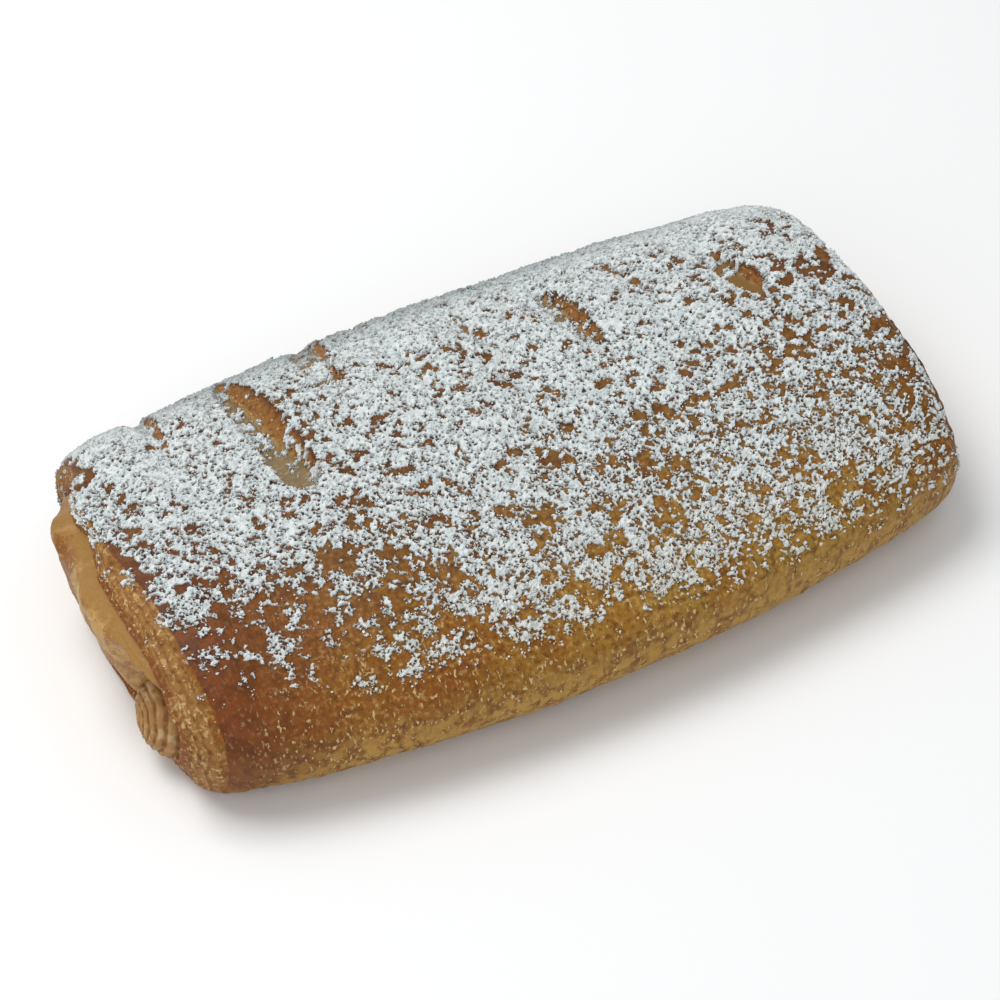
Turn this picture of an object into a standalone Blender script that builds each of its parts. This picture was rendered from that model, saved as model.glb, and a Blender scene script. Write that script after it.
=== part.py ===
"""Baked fruit strudel: a sheet of puff pastry wrapped round a fruit filling and slashed across the top.

Metres, +Z up.  X runs along the strudel, from the near cut end at -X to the far cut end at +X.
A row of knife slashes crosses the crown behind the middle, on the +Y side.  The origin lies on the
surface that the strudel rests on, under the middle of its whole length.
"""
import math

import bmesh
import bpy
from mathutils import Matrix, Vector

# ---- driving dimensions ------------------------------------------------------------------------
HALF_SPAN = 0.0740          # from the widest section to the edge where the glazed skin ends
CENTRE_SHIFT = (0.0022, 0.00035)        # puts the origin under the middle of the uneven outline
FRONT_MIDDLE, FRONT_END = 0.0481, 0.0368    # the long sides bow outward, the front one more
BACK_MIDDLE, BACK_END = 0.0474, 0.0379
BOW_POWER = 0.70            # how quickly the bow dies away towards the two ends
HEIGHT_MIDDLE = 0.0314
HEIGHT_RISE = 0.0012        # the roll stands a little taller towards its ends
HEIGHT_ROLL_OFF = 0.0014    # and rounds over just before they are cut
WAIST = 0.43                # height of the widest line, as a share of the height
UNDERCUT = 0.27             # how far the side tucks under, as a share of the half width
CROWN_POWER = 2.2           # roundness of the top, 2 being an ellipse

NEAR_FRONT = 0.0738         # where the glazed skin ends on the front half of the near end
NEAR_BACK = 0.0768          # on its back half
NEAR_CORNER = 0.0740        # and round its back corner
NEAR_LIP = 0.0804           # how far out the swollen cut edge of the pastry reaches
NEAR_LIP_BACK = 0.0786
NEAR_FOOT = 0.0770          # how far out the bottom of the wrap reaches
STEP_Y = (-0.012, 0.006)    # the skin's edge steps from front to back over these Y
LIP_Y = (0.0, 0.014)        # and the lip over these
CORNER_Y = (0.020, 0.034)   # the back corner begins and is complete at these Y
FOOT_Z = (0.010, 0.002)     # the lip draws in to the foot between these heights
NEAR_BULGE = 0.0824         # how far out the filling reaches
BULGE_LEAN = 0.26           # its face leans back towards the foot
BULGE_MIDDLE_Z = 0.018
BULGE_CORNER = 0.0026       # it falls back by this much at the back corner
BULGE_CORNER_Y = (0.010, 0.032)
BULGE_LUMP = 0.0005
LUMP_PITCH = 0.019
FAR_SLANT = 0.028           # the far end is cut a little off square
FAR_LIP = 0.0018            # how far its cut edge and its filling swell past the skin
FAR_BULGE = 0.0042

SHEET = 0.0055              # thickness of the pastry wall where it was cut
SHEET_FRONT = 0.0070        # it is thicker down the front of the near end
THICK_X = (-0.0530, -0.0650)            # the extra thickness grows over these X
THICK_Y = (-0.022, -0.032)              # and over these Y
CLEARANCE = 0.0003          # gap that the filling keeps to the pastry

# the lower edge of the sheet curls in on itself at the front of the near end, as a short fat roll
CURL_CENTRE = (-0.0741, -0.0168, 0.0080)
CURL_REACH = (0.0078, 0.0122, 0.0072)   # half its size along X, Y and Z
CURL_TURN = math.radians(-12.0)         # its front end lies further back under the wrap
CURL_WAVE = 0.06                        # lumpiness, as a share of its size

SWELL = 0.0008              # the crown puffs up between the slashes
SWELL_FRONT_Y = (-0.008, 0.010)         # along a band that rises and dies away over these Y
SWELL_BACK_Y = (0.044, 0.026)
SWELL_END = 0.014                       # and dies away this close to each end
SLASH_PITCH = 0.0160
SLASH_FIRST = -0.0575

AROUND = 72                 # points round one section
ALONG = 25                  # stations along the skin

# one row for each slash: X at the front end, X at the back end, Y front, Y back, opening, depth
SLASHES = (
    (-0.0570, -0.0580, 0.0150, 0.0330, 0.0022, 0.0014),
    (-0.0380, -0.0406, -0.0020, 0.0370, 0.0074, 0.0036),
    (-0.0252, -0.0205, 0.0120, 0.0380, 0.0026, 0.0016),
    (-0.0070, -0.0092, 0.0080, 0.0300, 0.0022, 0.0014),
    (0.0072, 0.0044, 0.0050, 0.0300, 0.0026, 0.0016),
    (0.0243, 0.0198, 0.0030, 0.0330, 0.0062, 0.0030),
    (0.0390, 0.0350, 0.0130, 0.0300, 0.0022, 0.0014),
    (0.0572, 0.0512, -0.0030, 0.0270, 0.0056, 0.0030),
)

PASTRY = (0.46, 0.20, 0.055)
FILLING = (0.62, 0.38, 0.15)


# ---- form of the roll --------------------------------------------------------------------------
def smooth(edge0, edge1, value):
    """Rise from 0 to 1 between two edges, level at both."""
    share = min(max((value - edge0) / (edge1 - edge0), 0.0), 1.0)
    return share * share * (3.0 - 2.0 * share)


def half_width(x, y):
    """Widest reach of the section at x, on the side that y lies on."""
    middle, end = (BACK_MIDDLE, BACK_END) if y > 0 else (FRONT_MIDDLE, FRONT_END)
    share = min(abs(x) / HALF_SPAN, 1.0)
    return end + (middle - end) * (1.0 - share * share) ** BOW_POWER


def height(x):
    share = min(abs(x) / HALF_SPAN, 1.0)
    return HEIGHT_MIDDLE + HEIGHT_RISE * share * share - HEIGHT_ROLL_OFF * share ** 14


def puff(x, y):
    """Swelling of the crown between two slashes, strongest along the row of slashes."""
    wave = 0.5 - 0.5 * math.cos(2.0 * math.pi * (x - SLASH_FIRST) / SLASH_PITCH)
    row = smooth(*SWELL_FRONT_Y, y) * smooth(*SWELL_BACK_Y, y)
    ends = smooth(HALF_SPAN, HALF_SPAN - SWELL_END, abs(x))
    return SWELL * (wave - 0.5) * row * ends


def section_outline(x, side):
    """Dense outline of one side of the section at x, from the middle of the base to the crown."""
    a, h = half_width(x, side), height(x)
    waist, tuck = WAIST * h, UNDERCUT * a
    steps = 40
    points = [(0.0, 0.0)]
    for i in range(steps + 1):
        turn = 0.5 * math.pi * i / steps
        points.append((a - tuck + tuck * math.sin(turn), waist - waist * math.cos(turn)))
    for i in range(1, steps + 1):
        turn = 0.5 * math.pi * i / steps
        side = math.cos(turn) ** (2.0 / CROWN_POWER) if i < steps else 0.0
        points.append((a * side, waist + (h - waist) * math.sin(turn) ** (2.0 / CROWN_POWER)))
    return points


def half_section(x, side):
    """Evenly spaced points up one side of the section at x."""
    outline = section_outline(x, side)
    lengths = [0.0]
    for (y0, z0), (y1, z1) in zip(outline, outline[1:]):
        lengths.append(lengths[-1] + math.hypot(y1 - y0, z1 - z0))
    half = []
    at = 0
    for i in range(AROUND // 2 + 1):
        target = lengths[-1] * i / (AROUND // 2)
        while at < len(lengths) - 2 and lengths[at + 1] < target:
            at += 1
        share = (target - lengths[at]) / (lengths[at + 1] - lengths[at])
        (y0, z0), (y1, z1) = outline[at], outline[at + 1]
        half.append((side * (y0 + (y1 - y0) * share), z0 + (z1 - z0) * share))
    return half


def section(x):
    """AROUND points round the section at x, from the middle of the base through +Y."""
    return half_section(x, 1) + half_section(x, -1)[-2:0:-1]


def crown(x, y):
    """Height of the top surface over the point x, y."""
    a, h = half_width(x, y), height(x)
    waist = WAIST * h
    side = min(abs(y) / a, 1.0)
    return waist + (h - waist) * (1.0 - side ** CROWN_POWER) ** (1.0 / CROWN_POWER) + puff(x, y)


def skin_ring(x):
    """The glazed skin at x, with its swelling between the slashes."""
    return [(y, z + (puff(x, y) if z > WAIST * height(x) else 0.0)) for y, z in section(x)]


# ---- the two cut ends --------------------------------------------------------------------------
def wall(x, y):
    """Thickness of the pastry wall behind a point of the skin."""
    return SHEET + (SHEET_FRONT - SHEET) * smooth(*THICK_X, x) * smooth(*THICK_Y, y)


def skin_end(side, y):
    """X where the glazed skin ends."""
    if side > 0:
        return HALF_SPAN + FAR_SLANT * y
    back = NEAR_BACK + (NEAR_CORNER - NEAR_BACK) * smooth(*CORNER_Y, y)
    return -(NEAR_FRONT + (back - NEAR_FRONT) * smooth(*STEP_Y, y))


def lip_end(side, y, z):
    """X that the swollen cut edge reaches."""
    if side > 0:
        return skin_end(side, y) + FAR_LIP
    lip = NEAR_LIP + (NEAR_LIP_BACK - NEAR_LIP) * smooth(*LIP_Y, y)
    lip += (NEAR_CORNER - NEAR_BACK) * smooth(*CORNER_Y, y)
    lip += (NEAR_FOOT - lip) * smooth(*FOOT_Z, z)
    return -lip


def station(x, y):
    """A station close to an end follows the line of the cut."""
    side = 1 if x > 0 else -1
    return x + (skin_end(side, y) - side * HALF_SPAN) * smooth(0.30 * HALF_SPAN, HALF_SPAN, abs(x))


def inward(x, y, z, distance):
    """Move a point of the section at x towards the flat middle of the roll."""
    h = height(x)
    reach = half_width(x, y) - 0.5 * h
    to_middle = Vector((max(-reach, min(reach, y)) - y, 0.5 * h - z))
    step = to_middle.normalized() * distance
    return y + step.x, z + step.y


# ---- meshes ------------------------------------------------------------------------------------
def loft(rings, closed_loop):
    """Mesh through rings of equal length; a closed loop also joins the last ring to the first."""
    bm = bmesh.new()
    rows = [[bm.verts.new(point) for point in ring] for ring in rings]
    pairs = list(zip(rows, rows[1:]))
    if closed_loop:
        pairs.append((rows[-1], rows[0]))
    for row, following in pairs:
        for i in range(len(row)):
            j = (i + 1) % len(row)
            bm.faces.new((row[i], row[j], following[j], following[i]))
    if not closed_loop:
        bm.faces.new(list(reversed(rows[0])))
        bm.faces.new(rows[-1])
    bmesh.ops.recalc_face_normals(bm, faces=bm.faces)
    # both walls of the narrow gap split their skewed quads along the same, shorter diagonal
    bmesh.ops.triangulate(bm, faces=bm.faces, quad_method="SHORT_EDGE")
    return bm


def inner_ring(x, gap):
    """The inner face of the wall at x, or the filling's own surface a gap further in."""
    ring = []
    for y, z in section(x):
        yy, zz = inward(x, y, z, wall(x, y) + gap)
        ring.append((station(x, y), yy, zz))
    return ring


# stations of the inner face, closest together where the wall thickens towards the near end
INNER_STATIONS = tuple(HALF_SPAN * share for share in (0.85, 0.45, 0.0, -0.40, -0.70, -0.79, -0.88))


def make_pastry():
    """The wrap: skin, cut edges, lips and the inner wall, as one closed ring-shaped loft."""
    rings = []
    for i in range(ALONG + 1):
        turn = math.pi * (0.10 + 0.80 * i / ALONG)
        x = -HALF_SPAN * math.cos(turn) / math.cos(math.pi * 0.10)
        rings.append([(station(x, y), y, z) for y, z in skin_ring(x)])
    # across each cut edge: share of the wall already crossed, share of the way out to the lip
    crossing = ((0.10, 0.20), (0.34, 0.58), (0.62, 0.88), (0.86, 1.00), (1.00, 0.80), (1.00, 0.20))
    for side in (1, -1):
        x = side * HALF_SPAN
        for share, outward in crossing[::side]:
            ring = []
            for y, z in skin_ring(x):
                edge = skin_end(side, y)
                yy, zz = inward(x, y, z, wall(x, y) * share)
                ring.append((edge + (lip_end(side, y, z) - edge) * outward, yy, zz))
            rings.append(ring)
        if side > 0:
            rings.extend(inner_ring(x, 0.0) for x in INNER_STATIONS)
    return loft(rings, True)


def bulge_end(side, y, z):
    """X that the filling reaches; its near face is a little lumpy and falls back at the far corner."""
    if side > 0:
        return skin_end(side, y) + FAR_BULGE
    lump = BULGE_LUMP * math.sin(2.0 * math.pi * y / LUMP_PITCH + 1.3)
    lean = BULGE_LEAN * (z - BULGE_MIDDLE_Z)
    return -(NEAR_BULGE + lump + lean - BULGE_CORNER * smooth(*BULGE_CORNER_Y, y))


def make_filling():
    """The filling: runs the whole length and domes out of both cut ends."""
    # over each dome: share of the way in to the middle line, share of the way out from the skin's end
    dome = ((0.00, 0.15), (0.02, 0.42), (0.10, 0.64), (0.26, 0.84), (0.50, 0.97), (0.80, 1.00))
    domes = {}
    for side in (-1, 1):
        x = side * HALF_SPAN
        domes[side] = []
        for share, outward in dome:
            ring = []
            for y, z in section(x):
                thick = wall(x, y) + CLEARANCE
                yy, zz = inward(x, y, z, thick + (0.5 * height(x) - thick) * share)
                edge = skin_end(side, y)
                ring.append((edge + (bulge_end(side, yy, zz) - edge) * outward, yy, zz))
            domes[side].append(ring)
    through = [inner_ring(x, CLEARANCE) for x in reversed(INNER_STATIONS)]
    return loft(domes[-1][::-1] + through + domes[1], False)


def make_curl(gap):
    """The curled edge at the foot of the near end, grown by a gap to clear room in the filling."""
    bm = bmesh.new()
    bmesh.ops.create_uvsphere(bm, u_segments=18, v_segments=10, radius=1.0)
    turn = Matrix.Rotation(CURL_TURN, 3, "Z")
    for vert in bm.verts:
        along = vert.co.y
        swell = 1.0 + CURL_WAVE * math.sin(2.6 * math.pi * along + 0.6)
        point = Vector(part * reach for part, reach in zip(vert.co * swell, CURL_REACH))
        vert.co = turn @ (point + vert.co * gap) + Vector(CURL_CENTRE)
    return bm


def make_slash(x_front, x_back, y_front, y_back, opening, depth):
    """A boat-shaped cutter that follows the crown along one slash."""
    bm = bmesh.new()
    bmesh.ops.create_uvsphere(bm, u_segments=12, v_segments=10, radius=1.0)
    for vert in bm.verts:
        across, up = vert.co.x, vert.co.y
        share = 0.5 - 0.5 * vert.co.z
        x = x_front + (x_back - x_front) * share + 0.5 * opening * across
        y = y_front + (y_back - y_front) * share
        vert.co = (x, y, crown(x, y) + depth * up)
    return bm


# ---- scene -------------------------------------------------------------------------------------
def material(name, colour, roughness):
    mat = bpy.data.materials.new(name)
    mat.use_nodes = True
    shader = mat.node_tree.nodes["Principled BSDF"]
    shader.inputs["Base Color"].default_value = (*colour, 1.0)
    shader.inputs["Roughness"].default_value = roughness
    shader.inputs["Metallic"].default_value = 0.0
    return mat


def add_object(name, bm, collection, mat=None):
    mesh = bpy.data.meshes.new(name)
    bm.to_mesh(mesh)
    bm.free()
    obj = bpy.data.objects.new(name, mesh)
    obj.location.xy = CENTRE_SHIFT
    collection.objects.link(obj)
    if mat:
        mesh.materials.append(mat)
        mesh.shade_smooth()
        mesh.set_sharp_from_angle(angle=math.radians(50))
    return obj


def combine(target, operation, name, bm):
    """Join a shape to a solid, or cut it out, with the shape kept as an unrendered guide."""
    guide = add_object(name, bm, cutters)
    guide.hide_render = True
    guide.display_type = "WIRE"
    modifier = target.modifiers.new(name, "BOOLEAN")
    modifier.operation = operation
    modifier.solver = "EXACT"
    modifier.object = guide


for old in list(bpy.data.objects):
    bpy.data.objects.remove(old, do_unlink=True)

strudel = bpy.data.collections.new("fruit_strudel")
cutters = bpy.data.collections.new("cutters")
for group in (strudel, cutters):
    bpy.context.scene.collection.children.link(group)

pastry = add_object("pastry_wrap", make_pastry(), strudel, material("baked_pastry", PASTRY, 0.45))
filling = add_object("fruit_filling", make_filling(), strudel, material("baked_filling", FILLING, 0.55))

combine(pastry, "UNION", "curled_edge", make_curl(0.0))
combine(filling, "DIFFERENCE", "curled_edge_room", make_curl(CLEARANCE))
for number, row in enumerate(SLASHES, 1):
    combine(pastry, "DIFFERENCE", f"slash_{number}", make_slash(*row))
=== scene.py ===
"""Baked fruit strudel: the finish of a wrapped, slashed and sugared puff pastry.

Lengths in the working arrays are millimetres; meshes are made in metres.  A point of the pastry's
skin is given by x, along the strudel, and s, the way round from the middle of the crown: negative
down the front, positive down the back, where the row of slashes is.
"""
import math

import bmesh
import bpy
import numpy as np
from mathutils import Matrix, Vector


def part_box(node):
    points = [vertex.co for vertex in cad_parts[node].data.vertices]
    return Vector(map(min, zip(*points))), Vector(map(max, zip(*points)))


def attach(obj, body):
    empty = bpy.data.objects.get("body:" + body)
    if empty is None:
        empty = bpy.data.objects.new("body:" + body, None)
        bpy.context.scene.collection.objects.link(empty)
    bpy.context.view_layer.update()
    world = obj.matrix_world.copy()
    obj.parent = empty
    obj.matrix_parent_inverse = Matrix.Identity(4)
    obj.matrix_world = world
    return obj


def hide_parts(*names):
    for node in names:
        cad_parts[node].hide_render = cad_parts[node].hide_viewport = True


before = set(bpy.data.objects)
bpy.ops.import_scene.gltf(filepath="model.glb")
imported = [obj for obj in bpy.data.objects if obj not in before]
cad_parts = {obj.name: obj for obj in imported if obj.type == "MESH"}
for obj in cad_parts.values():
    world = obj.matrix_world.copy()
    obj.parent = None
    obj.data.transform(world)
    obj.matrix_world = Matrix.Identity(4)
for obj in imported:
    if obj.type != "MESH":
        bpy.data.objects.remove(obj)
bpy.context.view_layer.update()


# ---- pastry wrap -------------------------------------------------------------------------------
# A sheet of puff pastry is folded round the filling, cut off square at both ends, brushed with egg
# and slashed across the back half of its crown.  The oven browns and glazes the skin, opens the
# slashes and swells the cut edges, where the thin layers of dough show as a pale blistered band.

MM = 0.001
wrap_low, wrap_high = (np.array(corner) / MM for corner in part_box("pastry_wrap"))
CENTRE = np.array([2.2, 0.35, 0.0])             # the widest section of the roll, from the origin
HALF_SPAN = 74.0                                # from there to the edge of the glazed skin
FRONT_MIDDLE, FRONT_END = CENTRE[1] - wrap_low[1], 36.8
BACK_MIDDLE, BACK_END = wrap_high[1] - CENTRE[1], 37.9
HEIGHT, HEIGHT_RISE, HEIGHT_ROLL_OFF = 31.4, 1.2, 1.4
WAIST, UNDERCUT, CROWN_POWER = 0.43, 0.27, 2.2
SUGAR_ROOM = 0.80                               # the skin lies this far inside the solid's crown
FAR_ROUND = 4.5                                 # the far edge of the skin is rounded over

NEAR_FRONT, NEAR_BACK, NEAR_CORNER = 75.2, 76.8, 71.8     # how far out the skin reaches
NEAR_LIP, NEAR_LIP_BACK, NEAR_FOOT = 80.4, 77.2, 79.4     # and the swollen cut edge
SHEET, SHEET_FRONT, FOOT_EXTRA = 5.5, 7.0, 2.6  # thickness of the sheet where it was cut
FAR_SLANT, FAR_SKIN, FAR_LIP = 0.028, 1.7, 0.3
CUT_FROM = 0.30                                 # from this share of the way out the ends slant

ALONG, AROUND_SKIN, AROUND_BASE = 250, 126, 11  # cells along, and round each half
BASE_FROM = 0.69                                # share of the way round where the base begins


def smooth(low, high, value):
    """Rise from 0 to 1 between two edges, level at both."""
    share = np.clip((value - low) / (high - low), 0.0, 1.0)
    return share * share * (3.0 - 2.0 * share)


def blend(a, b, share):
    """The value this share of the way from a to b."""
    return a + (b - a) * share


def noise(points, size, seed):
    """Smooth random field from -1 to 1 with features of about this size."""
    turned = points @ np.array([[0.80, 0.36, -0.48], [-0.60, 0.48, -0.64], [0.0, 0.80, 0.60]])
    cell = turned / size + 7.3 * seed
    corner = np.floor(cell).astype(np.int64)
    share = cell - corner
    share = share ** 3 * (share * (share * 6.0 - 15.0) + 10.0)
    total = np.zeros(points.shape[:-1])
    for step in np.ndindex(2, 2, 2):
        # large odd numbers turn each corner of the cell, with the seed, into a value of its own
        key = corner + np.array(step)
        code = key[..., 0] * 73856093 ^ key[..., 1] * 19349663 ^ key[..., 2] * 83492791 ^ seed * 40503
        code = ((code ^ (code >> 13)) * 1274126177) & 0x7FFFFFFF
        weight = np.prod(np.where(step, share, 1.0 - share), axis=-1)
        total += weight * (((code ^ (code >> 15)) & 0xFFFF) / 32767.5 - 1.0)
    return total


def half_width(x, front):
    """Half the width at x, on the front or on the back side."""
    middle, end = (FRONT_MIDDLE, FRONT_END) if front else (BACK_MIDDLE, BACK_END)
    share = min(abs(x) / HALF_SPAN, 1.0)
    return end + (middle - end) * (1.0 - share * share) ** 0.70


def height(x):
    """Height of the crown at x, which rises a little towards the ends and rolls off at them."""
    share = np.clip(np.abs(x) / HALF_SPAN, 0.0, 1.0)
    return HEIGHT + HEIGHT_RISE * share ** 2 - HEIGHT_ROLL_OFF * share ** 14


def skin_end(x_side, y):
    """How far out along X the skin reaches, at the far (1) or the near (-1) end."""
    if x_side > 0:
        return HALF_SPAN + FAR_SKIN + FAR_SLANT * y
    back = blend(NEAR_BACK, NEAR_CORNER, smooth(18, 34, y))
    return -blend(NEAR_FRONT, back, smooth(-12, 6, y))


def lip_end(x_side, y, z):
    """How far out the swollen cut edge reaches."""
    if x_side > 0:
        return skin_end(1, y) + FAR_LIP
    lip = blend(NEAR_LIP, NEAR_LIP_BACK, smooth(0, 14, y)) + (NEAR_CORNER - NEAR_BACK) * smooth(18, 34, y)
    return -blend(lip, np.minimum(lip, NEAR_FOOT), smooth(7, 0, z))


def slid(x, y):
    """X of a station of the roll once its ends are pushed out or in to where they were cut."""
    end = 1 if x > 0 else -1
    return x + (skin_end(end, y) - end * HALF_SPAN) * smooth(CUT_FROM * HALF_SPAN, HALF_SPAN, abs(x))


def section(x, around):
    """Y, Z and s round the section at x; around runs from -1 at the base, by the front, to 1."""
    y, z, s = (np.zeros(len(around)) for _ in range(3))
    h = float(height(x))
    waist = WAIST * h
    for front in (True, False):
        a = half_width(x, front)
        tuck = UNDERCUT * a
        turn = np.linspace(0.5 * math.pi, 0.0, 160)
        out, up = np.cos(turn) ** (2 / CROWN_POWER), np.sin(turn) ** (2 / CROWN_POWER)
        upper = np.stack([a * out, waist + (h - waist) * up])
        turn = np.linspace(0.5 * math.pi, 0.0, 60)[1:]
        lower = np.stack([a - tuck + tuck * np.sin(turn), waist - waist * np.cos(turn)])
        outline = np.concatenate([upper, lower, np.zeros((2, 1))], axis=1)
        lengths = np.concatenate([[0.0], np.cumsum(np.hypot(*np.diff(outline, axis=1)))])
        half = around < 0 if front else around >= 0
        way = np.abs(around[half]) * lengths[-1]
        side = -1.0 if front else 1.0
        y[half] = side * np.interp(way, lengths, outline[0])
        z[half] = np.interp(way, lengths, outline[1])
        s[half] = side * way
    return y, z, s


def wall(x, y, z):
    """Thickness of the sheet, which is folded over itself at the foot of the near end."""
    front = smooth(-53, -65, x) * smooth(-22, -32, y)
    return blend(SHEET, SHEET_FRONT, front) + FOOT_EXTRA * front * smooth(20, 6, z)


def inward(x, y, z, distance, share=0.0):
    """Move points of the section at x inwards, then this share of the way on to its flat middle."""
    h = height(x)
    reach = np.array([half_width(x, front) for front in (True, False)]) - 0.5 * h
    to_y = np.clip(y, -reach[0], reach[1]) - y
    to_z = 0.5 * h - z
    way = distance / np.hypot(to_y, to_z)
    way = way + (1.0 - way) * share
    return y + to_y * way, z + to_z * way


to_base = np.linspace(0.0, BASE_FROM, AROUND_SKIN + 1)
under = np.linspace(BASE_FROM, 1.0, AROUND_BASE + 1)[1:]
half_around = np.concatenate([to_base, under])
around = np.concatenate([-half_around[:0:-1], half_around[:-1]])

# the skin, as a grid of points: first index along x, second round the section
stations = np.linspace(-HALF_SPAN, HALF_SPAN, ALONG + 1)
skin = np.zeros((len(stations), len(around), 3))
skin_s = np.zeros(skin.shape[:2])
for row, x in enumerate(stations):
    y, z, skin_s[row] = section(x, around)
    skin[row] = np.stack([slid(x, y), y, z], axis=1)
skin_x = skin[..., 0].copy()


def normals_of(grid):
    """Outward normals of a grid of points whose second index closes on itself."""
    along = np.gradient(grid, axis=0)
    across = np.roll(grid, -1, axis=1) - np.roll(grid, 1, axis=1)
    normal = np.cross(across, along)
    return normal / (np.linalg.norm(normal, axis=-1, keepdims=True) + 1e-9)


skin_normal = normals_of(skin)
skin_normal *= np.sign(skin_normal[ALONG // 2, len(around) // 2, 2])

# one row for each slash: s at its front and back ends, x there, greatest width, how far along it is
# widest, how blunt its front end is, depth, where the floor meets the slope across the slash from
# -1 to 1, how pale the floor is, how far along it is clean, and bare shares of floor and of slope
SLASHES = (
    (20.0, 49.0, -57.4, -55.4, 5.2, 0.72, 1.6, 1.4, 0.35, 0.6, 0.00, 0.15, 0.80),
    (-0.6, 47.0, -39.5, -39.0, 8.3, 0.44, 7.0, 3.0, 0.05, 1.0, 0.38, 0.40, 0.97),
    (15.0, 51.0, -25.0, -20.2, 7.6, 0.82, 1.6, 1.4, 0.60, 0.8, 0.00, 0.06, 0.80),
    (12.0, 30.0, -8.3, -8.0, 2.2, 0.50, 2.0, 0.9, 0.00, 0.5, 0.00, 0.25, 0.35),
    (17.0, 32.0, 6.6, 5.0, 2.2, 0.50, 2.0, 0.9, 0.00, 0.5, 0.00, 0.20, 0.35),
    (5.0, 36.0, 23.2, 22.4, 5.8, 0.50, 3.0, 1.9, 0.15, 0.8, 0.00, 0.35, 0.66),
    (16.0, 30.0, 39.0, 36.5, 2.4, 0.50, 2.0, 0.9, 0.00, 0.5, 0.00, 0.25, 0.35),
    (4.2, 27.0, 56.4, 52.6, 5.8, 0.36, 4.0, 1.8, 0.50, 0.1, 0.45, 0.30, 0.30),
)
WIDE_SLASH = 8.0                                # one wider than this is nearly all floor in front
BACK_POINT = 2.5                                # how blunt every slash is at its back end


def slash_fields(points, x, s):
    """Over the skin: the slashes' depth, floor, its paleness, slope, its rise and the bare share."""
    depth, floor, pale_floor, slope, rise, bare = (np.zeros(s.shape) for _ in range(6))
    ragged = 0.10 * noise(points, 3.0, 31) + 0.06 * noise(points, 1.3, 32)
    for slash in SLASHES:
        s_front, s_back, x_front, x_back, widest, fullest, blunt = slash[:7]
        deep, border, pale, clean, bare_floor, bare_slope = slash[7:]
        way = (s - s_front) / (s_back - s_front)
        short = np.where(way < fullest, (1.0 - way / fullest), (way - fullest) / (1.0 - fullest))
        full = 1.0 - np.clip(short, 0.0, 1.0) ** np.where(way < fullest, blunt, BACK_POINT)
        half = 0.5 * widest * full * (1.0 + ragged) + 0.05
        share = (x - blend(x_front, x_back, way)) / half
        inside = (way > 0) & (way < 1)
        # steep on the left, then a floor, then a long slope up to a sharp edge that stands up a little
        edge = blend(0.95 if widest > WIDE_SLASH else border, border, smooth(0.02, 0.46, way))
        climb = np.clip((share - edge) / (1.0 - edge + 0.01), 0.0, 1.0)
        cut = smooth(-1.0, -0.80, share) * (1.0 - climb ** 1.2)
        depth = np.where(inside, np.maximum(depth, deep * full * cut), depth)
        here = inside * smooth(0.0, 0.3, full) * smooth(-1.05, -0.9, share)
        on_floor = here * smooth(edge + 0.12, edge - 0.12, share)
        on_slope = here * smooth(edge - 0.12, edge + 0.12, share) * smooth(1.22, 1.10, share)
        on_slope = on_slope * min(1.0, 0.2 + widest / 6.0)
        pale_floor = np.where(on_floor > floor, pale, pale_floor)
        floor = np.maximum(floor, on_floor)
        slope = np.maximum(slope, on_slope)
        rise = np.where(on_slope > 0, np.clip((share - edge) / (1.0 - edge), 0.0, 1.2), rise)
        lip = 0.09 * deep * smooth(0.80, 1.0, share) * smooth(1.7, 1.05, share) * full * inside
        depth = depth - lip * (share > 0.8)
        over_slope = here * smooth(edge - 0.1, edge + 0.05, share) * smooth(1.12, 1.0, share)
        bare = np.maximum(bare, np.maximum(bare_floor * on_floor, bare_slope * over_slope))
        swept = 0.98 * smooth(clean + 0.02, clean - 0.02, way)
        bare = np.maximum(bare, swept * here * smooth(1.12, 1.0, share))
    return depth, floor, pale_floor, slope, rise, bare


found = slash_fields(skin, skin_x, skin_s)
slash_depth, slash_floor, slash_pale, slash_slope, slash_rise, slash_bare = found

# the baked surface: puffed up between the slashes, uneven, blistered, and streaked where it is low
FIRST_SLASH, SLASH_PITCH, PUFF = 57.5, 16.0, 0.8
SIDE_ROOM = 0.35                                # the skin lies this far inside the solid's sides
NEAR_SWELL = 1.3                                # the back shoulder is fuller at the near end
low_side = smooth(20.0, 9.0, skin[..., 2])      # 1 where the sides turn under
base = smooth(1.2, 0.2, skin[..., 2])
far_in = HALF_SPAN - stations[:, None] * np.ones_like(skin_s)
far_over = np.clip(FAR_ROUND - far_in, 0.0, FAR_ROUND)
rounding = 0.42 * (FAR_ROUND - np.sqrt(FAR_ROUND ** 2 - 0.98 * far_over ** 2))

uneven = 0.42 * noise(skin, 24.0, 1) + 0.22 * noise(skin, 9.0, 2)
blisters = 0.20 * np.clip(noise(skin, 3.4, 3), 0.0, 1.0) ** 2 + 0.09 * noise(skin, 1.7, 4)
streaks = noise(skin * np.array([1.0, 0.34, 0.34]), 1.3, 5)
row_of_slashes = smooth(-8, 10, skin[..., 1]) * smooth(44, 26, skin[..., 1])
between = -0.5 * np.cos(2 * math.pi * (skin_x + FIRST_SLASH) / SLASH_PITCH)
puff = PUFF * between * row_of_slashes * smooth(0, 14, far_in)
crown = smooth(0.45 * HEIGHT, 0.75 * HEIGHT, skin[..., 2])
lift = (puff - SUGAR_ROOM) * crown + (uneven + blisters) * (1.0 - base) - SIDE_ROOM * (1.0 - base)
lift += NEAR_SWELL * smooth(-50, -68, skin_x) * smooth(18, 34, skin_s) * smooth(64, 48, skin_s)
lift += 0.10 * streaks * low_side * (1.0 - base) - rounding * (1.0 - base) - slash_depth
skin += skin_normal * lift[..., None]
skin[..., 2] = np.maximum(skin[..., 2], 0.0)


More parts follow.
